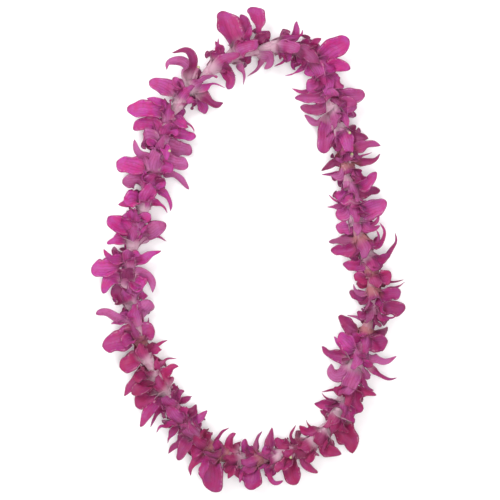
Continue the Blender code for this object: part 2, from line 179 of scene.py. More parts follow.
# Patterns: scale, detail and roughness of each noise
BLOTCHES, FRECKLES, GRAIN = (110.0, 3.0, 0.55), (420.0, 3.0, 0.6), (1400.0, 2.0, 0.6)
FIBRES, SLUBS = (3200.0, 4.0, 0.65), (260.0, 2.0, 0.5)
VEINS, BRANCHES = 3.0, 2.7  # veins over half a width, and fine ones to each
STREAKS = 9  # along a tube
STRAY, VEIN_STRAY, ROOT_STRAY = 1.2, 1.1, 0.16  # how far patterns wander with the blotches
PATCHES = (0.35, 0.65)  # of the blotches, from one colour to the other
# How strongly each shows over what is under it
# the next line's fourth strength is that of a painted highlight: a lavender sheen down a petal's middle
REAR, PALENESS, FRECKLING, PAINTED_SHEEN, DARKNESS = 0.22, 0.6, 0.45, 0.30, 0.75
# the next line's fourth strength is that of a painted highlight: a pale line along a petal's rolled edge
MAIN_VEINS, FINE_VEINS, VEINING, EDGE_HIGHLIGHT, RIM = 0.75, 0.4, 0.42, 0.36, 0.52
SALMON_SHARE, STREAKING, SLUBBING = 0.8, 0.35, 0.3
PETAL_ROUGHNESS, COTTON_ROUGHNESS = (0.42, 0.62), (0.75, 0.92)
GRAIN_RISE, VEIN_RISE = 0.5, -0.9
PETAL_BUMP, COTTON_BUMP = (0.45, 0.00025), (0.5, 0.0001)  # strength, and depth in metres

SKY_STRENGTH = 0.76
# Name, place, size and power of each lamp
LAMPS = (("key", (-0.7, 0.8, 1.5), 0.8, 18.0), ("top", (0.15, -0.1, 2.1), 0.7, 18.0),
         ("fill", (1.1, -0.4, 1.4), 1.6, 4.0))
CAMERA_LENS, CAMERA_REACH = 152.0, 20.0
CAMERA_SPOT = (0.0005, -0.0014, 2.02)
FLOOR_HALF = 3.0  # metres

# The thread's route in plan, clockwise seen from above: (x, y)
ROUTE = (
    (-72, 130), (-47, 160), (-17, 181), (19, 191), (53, 184), (71, 158), (81, 124),
    (91, 91), (95, 55), (102, 18), (114, -18), (116, -54), (107, -89), (96, -123),
    (83, -156), (59, -184), (27, -196), (-7, -199), (-37, -188), (-60, -165),
    (-80, -136), (-96, -107), (-106, -75), (-113, -43), (-113, -9), (-103, 29),
    (-92, 67), (-80, 110),
)

# One row a blossom: how far along the strand its throat is, then its six tepals in turn,
# from the outer side over the top and round below. A tepal is the (along, across, up) of its
# tip, its width and, if it bends back on itself, the (along, across) of places on the way.
# A row of five leaves out the sixth, which is the hidden tepal OUTSIDE.
INSIDE, OUTSIDE = (7, 0, -26, 12), (7, 2, -26, 12)
TEPALS = 6
BLOSSOMS = (
    (12, (-4, 35, 8, 13), (12, 19, 13, 10, (9, 13)), (9, -3, 20, 9), (6, -10, 6, 5), (6, -10, -24, 12),
     (6, 16, -22, 11)),
    (34, (-9, 29, 4, 9, (5, 15), (4, 24), (-3, 33)), (4, 36, 18, 9, (9, 15), (14, 26)), (8, -4, 18, 13),
     (20, -21, 4, 3, (12, -11)), (7, -31, -2, 9, (-4, -15), (-3, -27)), (-15, -26, -10, 12, (-11, -14))),
    (58, (12, 21, 2, 8, (12, 14)), (15, 21, 12, 5, (9, 13), (13, 17)), (16, 2, 18, 12),
     (14, -17, 6, 5, (8, -11)), (-3, -24, -2, 11, (5, -12), (5, -18)), (6, 14, -24, 11)),
    (79, (17, 36, -2, 9), (5, 44, 6, 18, (4, 18), (4, 30)), (22, 22, 15, 10, (16, 13)), (16, -1, 18, 12),
     (-4, -28, -2, 5, (0, -11), (2, -19)), (8, -6, -26, 12)),
    (100, (4, 40, 4, 12, (5, 16), (6, 26)), (13, 13, 10, 6), (5, -21, 4, 12, (12, -11), (14, -15)),
     (-17, -22, -4, 4, (3, -12), (-4, -19)), (7, -4, -26, 11), (7, 18, -22, 10)),
    (121, (14, 27, 4, 8, (13, 16)), (20, 19, 12, 5, (18, 14)), (15, 2, 18, 12), (10, -13, 8, 14),
     (-3, -19, -2, 4, (8, -13))),
    (140, (11, 21, 4, 7, (9, 14)), (14, 4, 18, 13), (15, -14, 6, 8), (3, -18, -4, 7),
     (9, -17, -4, 5, (0, -11), (2, -16)), (6, 18, -22, 10)),
    (158, (4, 40, 6, 13, (1, 18), (3, 30)), (23, 26, 14, 13, (12, 15)), (26, -1, 13, 11), (6, -13, 4, 14),
     (-24, -26, -4, 3, (-2, -12), (-6, -20))),
    (175, (8, 16, -8, 10), (14, 15, 10, 12), (12, 3, 19, 11), (3, -18, 6, 20),
     (-3, -30, -8, 6, (7, -16), (5, -24)), (7, -3, -26, 11)),
    (191, (12, 33, 4, 16, (8, 16)), (20, 22, 13, 12, (13, 14)), (-10, 3, 15, 12),
     (-6, -32, 4, 11, (1, -14)), (7, -30, -8, 11, (12, -13), (11, -22)), (8, 0, -26, 12)),
    (210, (4, 22, 3, 12, (-1, 14)), (19, 10, 12, 6), (9, -4, 18, 7), (37, -20, 2, 18, (15, -12)),
     (-3, -27, -9, 6, (4, -11), (6, -18))),
    (231, (13, 24, 5, 13, (8, 14)), (12, 4, 18, 14), (14, -9, 12, 11), (6, -12, 0, 8), (6, -6, -26, 11),
     (6, 15, -24, 11)),
    (249, (2, 34, 3, 7, (-1, 16), (-1, 25)), (7, 24, 14, 3, (7, 15)), (4, 4, 18, 10), (7, -10, 14, 9),
     (17, -25, 0, 9, (9, -12), (14, -19)), INSIDE),
    (266, (-9, 33, 4, 6, (-5, 15), (-5, 25)), (10, 18, 12, 9), (4, 5, 16, 18), (4, -17, 6, 6),
     (4, -25, -6, 5, (4, -13)), INSIDE),
    (284, (7, 29, -7, 10, (6, 16)), (-12, 27, 8, 10, (-2, 15)), (7, 7, 17, 13), (4, -14, 7, 12),
     (4, -22, -5, 4, (12, -12)), INSIDE),
    (301, (3, 33, 6, 19, (6, 16)), (8, 12, 16, 12), (8, -4, 18, 8), (4, -17, 5, 12),
     (-2, -24, -5, 4, (-1, -13))),
    (318, (-3, 24, 3, 6, (5, 13), (4, 19)), (9, 21, 11, 9), (8, -7, 12, 5), (0, -19, 2, 12),
     (6, -8, -26, 11), (6, 14, -24, 11)),
    (336, (-13, 22, 6, 5, (9, 16), (0, 24)), (-6, 17, 13, 4, (7, 13), (1, 17)), (10, 0, 17, 11),
     (-1, -30, 3, 12), (-8, -29, -9, 7, (-6, -14))),
    (353, (-13, 33, 4, 5, (4, 16), (-1, 25), (-5, 31)), (1, 22, 14, 8), (8, 5, 17, 11),
     (-2, -24, 4, 11, (4, -13)), (-7, -17, -5, 4), INSIDE),
    (370, (7, 31, -6, 3), (-1, 18, 8, 12), (7, 4, 17, 11), (-3, -16, 5, 11), (8, -15, -5, 11)),
    (387, (-7, 33, -7, 3), (0, 27, 6, 12, (1, 15)), (7, 8, 16, 9), (9, -5, 16, 9),
     (-10, -18, 3, 5, (-2, -15)), (0, -22, -9, 13)),
    (404, (-5, 32, 3, 12, (-6, 15)), (-2, 26, 12, 3, (3, 15), (2, 21)), (8, -3, 15, 5), (4, -12, 7, 9),
     (10, -21, -4, 5, (9, -12))),
    (426, (-7, 20, -1, 9, (-6, 13)), (0, 22, 10, 17, (4, 14)), (12, 8, 17, 11), (2, -11, 13, 10),
     (-8, -29, -2, 13), INSIDE),
    (445, (-6, 35, 5, 7, (1, 15), (1, 25)), (5, 12, 16, 11), (8, -6, 17, 8), (-12, -24, 5, 15),
     (-6, -28, -7, 8)),
    (463, (-6, 43, -5, 5, (-8, 16), (-4, 25), (-3, 35)), (2, 18, 8, 7), (10, 23, 18, 7), (15, 1, 17, 15),
     (1, -23, 5, 14, (8, -12), (9, -18)), (-12, -36, -10, 12, (-11, -15), (-8, -25))),
    (478, (0, 28, 4, 9, (0, 16)), (14, 20, 11, 16), (10, 1, 17, 9), (5, -12, 10, 10),
     (16, -22, -4, 4, (8, -12))),
    (494, (2, 22, -8, 9), (11, 18, 8, 12), (10, 5, 18, 10), (17, -23, 3, 15, (8, -11)), (2, -22, -8, 4),
     (7, 3, -26, 11)),
    (511, (15, 34, 4, 20, (6, 17), (8, 26)), (2, 18, 16, 9), (8, 3, 18, 13), (8, -8, 14, 9),
     (2, -14, -8, 9)),
    (528, (4, 27, 4, 13, (8, 15)), (11, 13, 13, 5), (7, 1, 18, 11), (15, -20, 2, 11), (5, -20, -8, 4)),
    (545, (7, 29, -4, 6, (11, 16)), (4, 15, 8, 12), (10, 4, 17, 12), (4, -6, 15, 8),
     (3, -22, -3, 5, (16, -12), (14, -17)), INSIDE),
    (563, (5, 31, 3, 16), (17, 14, 12, 11), (6, -6, 14, 8), (11, -17, 3, 12), (6, -12, -24, 11),
     (6, 8, -26, 11)),
    (581, (-3, 24, 6, 5, (7, 14), (7, 21), (4, 25)), (8, 8, 15, 8), (7, -3, 16, 8), (8, -11, 6, 7),
     (-3, -27, -4, 8)),
    (598, (7, 29, 4, 16, (3, 17)), (14, 22, 10, 4, (13, 14)), (9, 2, 16, 9), (12, -19, 5, 11),
     (-9, -25, -6, 5, (-1, -12), (-2, -19))),
    (615, (-6, 23, 2, 6), (6, 20, 12, 10, (4, 14)), (10, -3, 16, 9), (10, -23, 2, 12, (13, -11), (14, -19)),
     (2, -16, -9, 8)),
    (632, (-3, 38, 3, 18, (2, 15), (-2, 26)), (6, 29, 15, 8, (8, 17)), (8, 4, 16, 9), (8, -10, 9, 12),
     (4, -25, -4, 5, (10, -12), (10, -18))),
    (648, (-2, 34, 3, 6, (-1, 16), (0, 25)), (1, 19, 11, 6), (8, 4, 17, 10), (10, -10, 8, 12),
     (4, -12, -9, 9)),
    (664, (2, 33, -6, 7, (2, 16), (3, 25)), (-6, 29, 9, 9, (-2, 15)), (7, 5, 17, 13), (8, -8, 14, 7),
     (9, -23, 2, 10, (8, -12)), INSIDE),
    (680, (-6, 27, 4, 4, (-2, 15), (-4, 22)), (7, 27, 16, 5, (5, 16), (9, 20)), (16, 1, 15, 15),
     (6, -10, 10, 8), (5, -18, -3, 9, (1, -11))),
    (697, (-3, 16, -6, 4), (-4, 30, 6, 5, (3, 16)), (2, 36, 22, 10, (9, 18)), (7, 2, 17, 10),
     (6, -16, 6, 11), (-2, -20, -6, 3, (-2, -12))),
    (714, (2, 31, 4, 19, (4, 14)), (14, 27, 12, 14, (12, 15)), (8, -4, 17, 9),
     (13, -24, 3, 12, (13, -12), (16, -18)), (-8, -12, -6, 7)),
    (732, (-4, 35, 4, 9, (3, 16), (0, 26)), (2, 18, 13, 10), (8, 4, 17, 10), (12, -11, 6, 4),
     (3, -26, -4, 4, (5, -11), (8, -17)), INSIDE),
    (750, (1, 27, 5, 14, (0, 15)), (6, 6, 17, 11), (8, -5, 15, 8), (2, -16, 4, 7),
     (9, -24, -6, 6, (7, -13), (9, -18))),
    (768, (3, 37, 3, 19, (3, 16)), (-3, 17, 13, 12), (12, 0, 16, 7), (1, -14, 5, 18),
     (18, -12, -7, 4, (12, -10))),
    (786, (4, 25, -7, 6, (2, 16)), (14, 35, 6, 8, (4, 12), (9, 19), (14, 27)), (8, 12, 16, 8),
     (7, -3, 17, 8), (17, -17, 2, 17, (9, -11)), INSIDE),
    (804, (8, 18, 6, 17), (8, 6, 16, 9), (12, -8, 13, 15), (3, -16, -4, 9), (6, -8, -26, 11),
     (6, 12, -25, 11)),
    (823, (4, 20, -6, 9), (-8, 26, 8, 10, (2, 19)), (6, 3, 17, 11), (-9, -12, 10, 15),
     (-12, -21, -3, 9, (9, -13), (5, -19), (-3, -22))),
    (842, (-6, 36, 2, 15, (-7, 17), (-8, 27)), (8, 25, 13, 7, (0, 16), (3, 21)), (5, 5, 17, 12),
     (6, -9, 11, 8), (19, -27, -2, 9, (3, -11), (11, -18))),
    (861, (-6, 25, 2, 6, (-2, 15)), (17, 29, 14, 19, (11, 16)), (6, 4, 17, 9), (14, -6, 13, 7),
     (26, -24, 1, 16, (12, -12)), (11, -30, -12, 5)),
    (880, (0, 20, -5, 9), (8, 11, 8, 9), (3, 2, 17, 8), (4, -8, 8, 7), (2, -9, -12, 8), (7, 4, -26, 11)),
    (898, (-6, 24, 3, 8), (-4, 18, 14, 14), (10, 2, 16, 13), (8, -8, 11, 8),
     (-1, -24, -3, 4, (4, -11), (4, -17))),
    (915, (-3, 26, 4, 15, (2, 15)), (6, 9, 15, 10), (8, -4, 15, 13), (4, -14, 5, 12),
     (-16, -25, -5, 6, (-1, -12), (-4, -19), (-10, -24)), INSIDE),
    (932, (-1, 37, 3, 19, (-1, 16)), (23, 25, 15, 10, (10, 16), (16, 22)), (8, -3, 17, 15), (3, -17, 5, 12),
     (-8, -36, -6, 6, (1, -14), (1, -21), (-3, -28))),
    (949, (5, 13, -6, 8), (5, 12, 13, 10), (12, 3, 16, 8), (-6, -10, 14, 8), (-4, -30, 2, 14, (-5, -16)),
     (10, -29, -12, 18, (8, -14))),
    (966, (-2, 31, -4, 12, (6, 17), (4, 25)), (-13, 19, 9, 14), (6, 0, 17, 10), (4, -12, 10, 10),
     (8, -29, -4, 11, (5, -12))),
    (984, (-4, 41, 4, 11, (0, 16), (-3, 27)), (5, 27, 13, 8, (6, 15)), (4, 3, 17, 10),
     (-2, -20, 6, 13, (-1, -12)), (-7, -26, -3, 4, (4, -15), (3, -23)), (6, -8, -25, 11)),
)

# Tepals that are narrow with round ends, wide with pointed ends, and on a narrow claw
ROUND = {
    (1, 1), (4, 0), (11, 4), (15, 0), (15, 1), (23, 0), (30, 0), (32, 0), (33, 1), (35, 1), (37, 1),
    (39, 2), (44, 1), (46, 1), (48, 0), (52, 4),
}
POINTED = {(5, 2), (12, 0), (25, 4), (25, 5), (27, 3), (28, 0), (29, 0), (34, 3), (39, 4), (40, 3)}
CLAWED = {(5, 0)}
# Tepals that show their pale backs, and those that are darker than the rest
PALE = {
    (2, 0), (4, 4), (5, 2), (5, 3), (11, 2), (11, 4), (14, 3), (17, 2), (18, 4), (21, 4), (22, 2), (22, 4),
    (24, 0), (25, 1), (25, 4), (33, 4), (41, 4), (44, 1), (44, 4), (45, 2), (46, 4), (48, 4), (51, 0),
    (52, 1), (52, 2), (52, 4), (53, 4), (53, 5), (54, 1),
}
DARK = {
    (2, 1), (2, 4), (5, 1), (12, 0), (13, 4), (15, 0), (23, 0), (30, 2), (38, 4), (45, 0), (46, 2),
}
# Blossoms whose tubes and petal roots are salmon, and those where they are nearly white
SALMON = {13, 14, 18, 20, 21, 23, 33, 35, 36, 43}
WHITE = {1, 2, 3, 4, 5, 6, 11, 12, 17, 19, 25, 27, 28, 29, 30, 32, 34, 40, 41, 42, 45, 46, 48, 50}
# Blossoms that are a brighter purple, redder and darker, and dusted with a pale bloom
BRIGHT = {1, 2, 8, 9, 11, 12, 15, 16, 17, 24, *range(44, 56)}
RUDDY = {20, 26, 28, 29, 30, 31, 34, 36, 40, 41, 42}
DUSTY = {1, 9, 10, 11, 12, 13, 16, 17, 44}
# Bells that start early, or open wider: (shift along, share of the usual radius)
BELLS = {2: (-5.0, 1.2), 5: (0.0, 1.1), 12: (-3.0, 1.1), 25: (-5.0, 1.0), 28: (-4.0, 1.0)}
# Anther caps that show: (along, across, up)
ANTHERS = {
    2: (11, 9, 8), 10: (1, -1, 9), 12: (3, 8, 8), 14: (-12, 5, 10), 31: (3, 4, 9),
    53: (4, -9, 9),
}


def unit(vectors):
    return vectors / np.maximum(np.linalg.norm(vectors, axis=-1, keepdims=True), 1e-9)


def smooth(values, low, high):
    t = np.clip((values - low) / (high - low), 0.0, 1.0)
    return t * t * (3 - 2 * t)


def way_out(clock):
    """The way straight out from the thread at a clock."""
    return np.array([0.0, math.cos(clock), math.sin(clock)])


def way_round(clock):
    """The way round the thread there."""
    return np.array([0.0, -math.sin(clock), math.cos(clock)])


def catmull_rom(knots, t):
    """Stretches of the smooth curve through all knots but the first and the last."""
    for a, b, c, d in zip(knots, knots[1:], knots[2:], knots[3:]):
        slopes = (c - a) * t + (2 * a - 5 * b + 4 * c - d) * t**2
        yield b + 0.5 * (slopes + (3 * b - a - 3 * c + d) * t**3)


def bezier(t, *points):
    """The Bezier curve of these control points."""
    degree = len(points) - 1
    shares = (math.comb(degree, k) * (1 - t) ** (degree - k) * t**k for k in range(degree + 1))
    return sum(share * point for share, point in zip(shares, points))


def lengths_along(points):
    """Length of the line up to each of its points."""
    steps = np.linalg.norm(np.diff(points, axis=0), axis=1)
    return np.concatenate([[0.0], np.cumsum(steps)])


def around(count):
    """Angles of points spaced evenly round a circle."""
    return np.linspace(0.0, math.tau, count, endpoint=False)


def spots_over(u, v):
    """The values to paint on a grid with rows along v and columns over u."""
    return np.stack(np.broadcast_arrays(u, v[:, None], 0.0), axis=-1)


class Strand:
    """The smooth closed curve of the thread, measured by the length along it."""

    STEPS = 60          # points read between two of the route's own points
    HALF_STEP = 2.0     # to either side of a place, for the way that the strand runs there

    def __init__(self, route):
        knots = np.array(route, float)
        t = np.linspace(0.0, 1.0, self.STEPS, endpoint=False)[:, None]
        stretches = catmull_rom([knots[-1], *knots, *knots[:2]], t)
        self.points = np.concatenate([*stretches, knots[:1]])
        self.lengths = lengths_along(self.points)
        self.total = self.lengths[-1]

    def at(self, along):
        s = np.mod(along, self.total)
        x = np.interp(s, self.lengths, self.points[:, 0])
        y = np.interp(s, self.lengths, self.points[:, 1])
        return np.stack([x, y], axis=-1)

    def place(self, local):
        """World positions, in millimetres, of points in strand coordinates."""
        along, across, up = local[..., 0], local[..., 1], local[..., 2]
        travel = self.at(along + self.HALF_STEP) - self.at(along - self.HALF_STEP)
        travel /= np.linalg.norm(travel, axis=-1, keepdims=True)
        outside = np.stack([-travel[..., 1], travel[..., 0]], axis=-1)
        plan = self.at(along) + across[..., None] * outside
        return np.concatenate([plan, (AXIS_HEIGHT + up)[..., None]], axis=-1)

    def laid(self, local, throat):
        """The same for a blossom's own points, bent softly up from the surface under the lei."""
        placed = self.place(local + throat * FORWARD)
        depth = (placed[..., 2] - FLOOR_REST) / FLOOR_SOFTNESS
        placed[..., 2] = FLOOR_REST + FLOOR_SOFTNESS * np.logaddexp(0.0, depth)
        placed[..., 2] = np.minimum(placed[..., 2], AXIS_HEIGHT + HIGHEST)
        return placed


def sheet_normals(grid, closed):
    """Unit normals of a grid of points (rows, columns, 3)."""
    if closed:
        grid = np.concatenate([grid[:, -1:], grid, grid[:, :1]], axis=1)
    normals = unit(np.cross(np.gradient(grid, axis=1), np.gradient(grid, axis=0)))
    return normals[:, 1:-1] if closed else normals


def grid_quads(rows, columns, closed):
    """Faces between the points of a grid."""
    quads = []
    for r in range(rows - 1):
        for c in range(columns if closed else columns - 1):
            n = (c + 1) % columns
            quads.append((r * columns + c, r * columns + n,
                          (r + 1) * columns + n, (r + 1) * columns + c))
    return quads


def grid_rim(rows, columns, closed):
    """Edges round a grid, each in the direction that its face runs."""
    last = (rows - 1) * columns
    rim = []
    for c in range(columns if closed else columns - 1):
        n = (c + 1) % columns
        rim += [(c, n), (last + n, last + c)]
    if not closed:
        for r in range(0, last, columns):
            rim += [(r + columns, r), (r + columns - 1, r + 2 * columns - 1)]
    return rim


def add_object(name, data):
    made = bpy.data.objects.new(name, data)
    bpy.context.scene.collection.objects.link(made)
    return made


class Piece:
    """Vertices, faces and their painted values, gathered into one mesh object.

    petal holds (u, v, root): root is how far a tepal's root fades, to pale or, below 0, to
    salmon. tint holds (pale, dark, back, kind), where kind is TEPAL, TUBE or CAP. tone, for a
    whole object, is 1 if it is bright and -1 if it is ruddy.
    """

    def __init__(self):
        self.points, self.faces, self.petal, self.tint = [], [], [], []
        self.count = 0

    def add(self, points, faces, petal, tint):
        self.points.append(points.reshape(-1, 3))
        count = len(self.points[-1])
        self.petal.append(petal.reshape(-1, 3))
        self.tint.append(np.broadcast_to(tint, (count, 4)))
        self.faces += [[i + self.count for i in face] for face in faces]
        self.count += count

    def shell(self, grid, thickness, petal, tints, closed=False):
        """A closed solid round a grid of middle points (rows, columns, 3).

        closed joins the last column to the first. tints are for the two skins, the one that
        the normals point out of first.
        """
        rows, columns = grid.shape[:2]
        size = rows * columns
        offset = sheet_normals(grid, closed) * thickness / 2
        skins = np.stack([grid + offset, grid - offset])
        skins[..., 2] = np.maximum(skins[..., 2], LOWEST)
        quads = grid_quads(rows, columns, closed)
        faces = quads + [tuple(i + size for i in reversed(quad)) for quad in quads]
        faces += [(b, a, a + size, b + size) for a, b in grid_rim(rows, columns, closed)]
        self.add(skins, faces, np.stack([petal, petal]), np.repeat(tints, size, axis=0))

    def tube(self, grid, tint):
        """A closed tube of rings of points (rows, columns, 3)."""
        rows, columns = grid.shape[:2]
        sides = [(a, d, c, b) for a, b, c, d in grid_quads(rows, columns, True)]
        ends = [tuple(range(columns)), tuple(reversed(range((rows - 1) * columns, rows * columns)))]
        self.add(grid, sides + ends, spots_over(np.zeros(columns), np.linspace(0.0, 1.0, rows)), tint)

    def build(self, name, mat, slot, tone=0.0):
        mesh = bpy.data.meshes.new(name)
        mesh.from_pydata((np.concatenate(self.points) * MM).tolist(), [], self.faces)
        painted = (("petal", "FLOAT_VECTOR", "vector", np.concatenate(self.petal)),
                   ("tint", "FLOAT_COLOR", "color", np.concatenate(self.tint)),
                   ("tone", "FLOAT", "value", np.full(self.count, tone)))
        for attribute, kind, field, values in painted:
            data = mesh.attributes.new(attribute, kind, "POINT").data
            data.foreach_set(field, values.astype(np.float32).ravel())
        mesh.shade_smooth()
        mesh.set_sharp_from_angle(angle=math.radians(SHARP))
        mesh.materials.append(mat)
        made = add_object(name, mesh)
        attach(made, "root")
        return made


def rings(line, side, rise, radii):
    """Rings of points round a line, in the planes of side and rise. radii is (rows, columns)."""
    angles = around(radii.shape[1])[:, None]
    ring = np.cos(angles) * side[..., None, :] + np.sin(angles) * rise[..., None, :]
    return line[:, None] + ring * radii[..., None]


def half_widths(v, width, kind):
    """Half width along a tepal of a kind in OUTLINES."""
    claw, opens, widest, fullness, bluntness = OUTLINES[kind]
    rise = claw + (1 - claw) * smooth(v, opens, widest)
    past = np.clip((v - widest) / (1 - widest), 0.0, 1.0)
    return width / 2 * rise * (1 - past**fullness) ** bluntness


def leaving_place(tip, bends, clock, bell, layer):
    """Where a tepal leaves the bell."""
    shift, spread = bell
    sideways = smooth(abs(math.cos(clock)), *AT_SIDE)
    aim = np.clip(bends[0][0] if bends else AIM + AIM_SHARE * tip[0], *AIMS)
    along = BELL_MOUTH[0] + sideways * (aim - BELL_MOUTH[0])
    radius = spread * np.interp(along, *np.transpose([BELL_ROOT, BELL_MOUTH])) + layer
    return np.array([along + shift, BELL_SHIFT, 0.0]) + radius * way_out(clock)


def bent_curve(root, mouth, end, bends, t):
    """The way from a tepal's root by its bends to its tip."""
    inner = [root, mouth]
    for k, bend in enumerate(bends, start=1):
        height = mouth[2] + k / (len(bends) + 1) * (end[2] - mouth[2]) + BEND_RISE
        inner.append(np.array([*bend, height]))
    knots = [2 * root - mouth, *inner, end, 2 * end - inner[-1]]
    return np.concatenate([*catmull_rom(knots, t[:-1]), [end]])


def plain_curve(root, mouth, end, clock, t):
    """The way from a tepal's root straight up the bell, and then over to its tip."""
    reach = np.linalg.norm(end - mouth) / 3
    first = mouth + reach * unit(unit(mouth - root) + unit(end - mouth))
    last = end + reach * (TIP_FORWARD * FORWARD - way_out(clock))
    stem = root + (mouth - root) * np.linspace(0.0, 1.0, STEM_STEPS, endpoint=False)[:, None]
    return np.concatenate([stem, bezier(t, mouth, first, last, end)])


def midline(tip, bends, clock, bell, layer):
    """A tepal's middle line from its root on the tube to its tip, v along it and its length."""
    root = (BELL_ROOT[0] + bell[0]) * FORWARD + (BELL_ROOT[1] + layer) * way_out(clock)
    mouth = leaving_place(tip, bends, clock, bell, layer)
    end = np.array(tip, float)
    t = np.linspace(0.0, 1.0, BLADE_STEPS)[:, None]
    if bends:
        curve = bent_curve(root, mouth, end, bends, t)
    else:
        curve = plain_curve(root, mouth, end, clock, t)
    lengths = lengths_along(curve)
    v = 1 - (1 - np.linspace(0.0, 1.0, LENGTH_STEPS + 1)) ** CROWDING
    line = np.stack([np.interp(v * lengths[-1], lengths, places) for places in curve.T], axis=-1)
    for _ in range(SMOOTHINGS):
        line[1:-1] = (line[:-2] + 2 * line[1:-1] + line[2:]) / 4
    return line, v, lengths[-1]


def outline(place, width):
    """The kind of outline that a tepal has."""
    if place in CLAWED:
        return "clawed"
    if place in ROUND or (width >= PETAL_WIDTH and place not in POINTED):
        return "petal"
    return "sepal" if width >= SEPAL_WIDTH else "slim"


def blade_ways(line, v, clock, mouth, face_down, roll):
    """Unit ways over a tepal's width and out of its sheet, along its middle line."""
    travel = unit(np.gradient(line, axis=0))
    side = abs(math.cos(clock))
    face = np.array([FACE_SLOPE, 0.0, -1.0 if face_down else 1.0])
    turn = smooth(v, TURN_FROM * mouth * (1 - side), mouth + TURN_PAST * (1 - side))[:, None]
    breadth = way_round(clock) * (1 - turn * side) + unit(np.cross(face, travel)) * turn * side
    breadth = unit(breadth - travel * (breadth * travel).sum(-1, keepdims=True))
    rolled = (roll * smooth(v, mouth, 1.0))[:, None]
    breadth = breadth * np.cos(rolled) + np.cross(breadth, travel) * np.sin(rolled)
    return breadth, np.cross(breadth, travel)


def blade_places(u, v, base, width, kind, rng):
    """Places over a tepal's width (rows, columns), and its half width without the waves."""
    def joined(places):
        return (half_widths(places, width, kind) ** JOIN + base**JOIN) ** (1 / JOIN)

    phases = rng.uniform(0, ANY_PHASE, 4)
    skew = SKEW * math.sin(phases[0])
    halves = []
    for lean, slow, quick in ((skew, *phases[:2]), (-skew, *phases[2:])):
        waves = ((SLOW_WAVE, slow), (QUICK_WAVE, quick))
        waving = 1 + sum(share * np.sin(pace * v + phase) for (share, pace), phase in waves)
        halves.append(joined(v ** (1 + lean)) * waving)
    return np.where(u < 0, *halves) * u, joined(v)


def blade_lift(u, v, lateral, half, radii, mouth, petal, rng):
    """How far a tepal's sheet stands out from its middle line at each place."""
    wrap = WRAP * (1 - smooth(v, WRAP_FROM * mouth, mouth + WRAP_PAST)) / radii
    bend = wrap + rng.uniform(*(PETAL_CUPS if petal else SEPAL_CUPS)) * smooth(v, *CUPPED)
    fold = rng.uniform(*FOLDS) * smooth(v, *FOLDED) * (1 - 0.5 * v)
    lift = -0.5 * bend * lateral**2
    lift = lift - fold * (np.sqrt(lateral**2 + FOLD_SOFTNESS) - FOLD_DEPTH)
    flare = rng.uniform(*FLARES)
    ripples = math.tau * rng.uniform(*RIPPLES)
    for sign in (-1, 1):
        slope = flare + RIPPLE_HEIGHT * np.sin(ripples * v + rng.uniform(0, ANY_PHASE))
        lift = lift + (np.sign(u) == sign) * np.abs(u) ** 3 * half * slope * smooth(v, *RIPPLED)
    midrib = MIDRIB * np.exp(-(u / MIDRIB_SPREAD) ** 2) * smooth(v, *RIBBED) * (1 - v)
    curl = rng.uniform(*CURLS) * smooth(v, *CURLED) ** 2 * (1.0 if petal else SEPAL_CURL)
    return lift + midrib + curl


def tepal_grid(tip, width, kind, bends, face_down, roll, bell, layer, rng):
    """Middle sheet of a tepal (rows, columns, 3), with its u and v to paint."""
    clock = math.atan2(tip[2], tip[1])
    line, v, length = midline(tip, bends, clock, bell, layer)
    mouth = math.dist(BELL_ROOT, BELL_MOUTH) / length
    u = np.linspace(-1.0, 1.0, ACROSS_STEPS + 1)
    breadth, outer = blade_ways(line, v, clock, mouth, face_down, roll)
    radii = np.hypot(line[:, 1] - BELL_SHIFT * smooth(v, 0, mouth), line[:, 2])
    base = BELL_SHARE * BASE_SHARES[kind] * np.minimum(radii, bell[1] * BELL_MOUTH[1])
    base = base * (1 - smooth(v, mouth, mouth + BASE_FADE))
    column, radii, base = v[:, None], radii[:, None], base[:, None]
    lateral, half = blade_places(u, column, base, width, kind, rng)
    lift = blade_lift(u, column, lateral, half, radii, mouth, kind == "petal", rng)
    grid = line[:, None] + breadth[:, None] * lateral[..., None] + outer[:, None] * lift[..., None]
    return grid, spots_over(u, v)


def wall(spots):
    """Thickness over a tepal: thinner towards its edge."""
    return PETAL_WALL + (EDGE_WALL - PETAL_WALL) * spots[..., :1] ** 2


def as_it_lies(tip, width, bends, rng):
    """A tepal's tip, width and roll in the crowd of blossoms."""
    along, across, up = tip
    roll = 0.0
    if abs(across) < OVERHEAD * up:
        along += LEAN * up + rng.uniform(*TIP_DRIFT)
        across += rng.uniform(*TIP_SPREAD)
        width *= rng.uniform(*WIDTH_SHARES)
        roll = rng.uniform(*ROLLS)
    elif up > RAISED and not bends:
        along += RAISED_DRIFT
        width = max(RAISED_SHARE * width, RAISED_WIDTH) if width > NARROW else width
    elif up < UNDERNEATH:
        across = math.copysign(max(abs(across), SPLAY), across - OUTER)
        width *= UNDER_SHARE
        roll = math.copysign(UNDER_ROLL, across)
    elif width > NARROW:
        width *= SIDE_SHARE
    return (along, across, up), width, roll


def tepal_skins(place, rng):
    """The painted values of a tepal's back and its front."""
    dark = (BRIGHT_TEPAL if place[0] in BRIGHT else USUAL_TEPAL) * rng.uniform() ** DARK_POWER
    if place in DARK:
        dark = DARK_TEPAL
    back = PALE_BACK if place in PALE else USUAL_BACK * rng.uniform() ** 2
    front = rng.uniform(0.0, FRONT) + (DUST if place[0] in DUSTY else 0.0)
    return (back, dark, 1.0, TEPAL), (front, dark, 0.0, TEPAL)


def add_tepal(piece, strand, throat, place, tepal, rng):
    """A petal or a sepal; place is (blossom, index)."""
    number, index = place
    along, across, up, width, *bends = tepal
    face_down = place in PALE and abs(math.cos(math.atan2(up, across))) > FACE_DOWN
    tip, width, roll = as_it_lies((along, across, up), width, bends, rng)
    grid, spots = tepal_grid(tip, width, outline(place, width), bends, face_down, roll,
                             BELLS.get(number, USUAL_BELL), WHORL_STEP * (index % 2 - 0.5), rng)
    spots[..., 2] = (WHITE_ROOT if number in WHITE
                     else SALMON_ROOT if number in SALMON else USUAL_ROOT)
    piece.shell(strand.laid(grid, throat), wall(spots), spots, tepal_skins(place, rng))


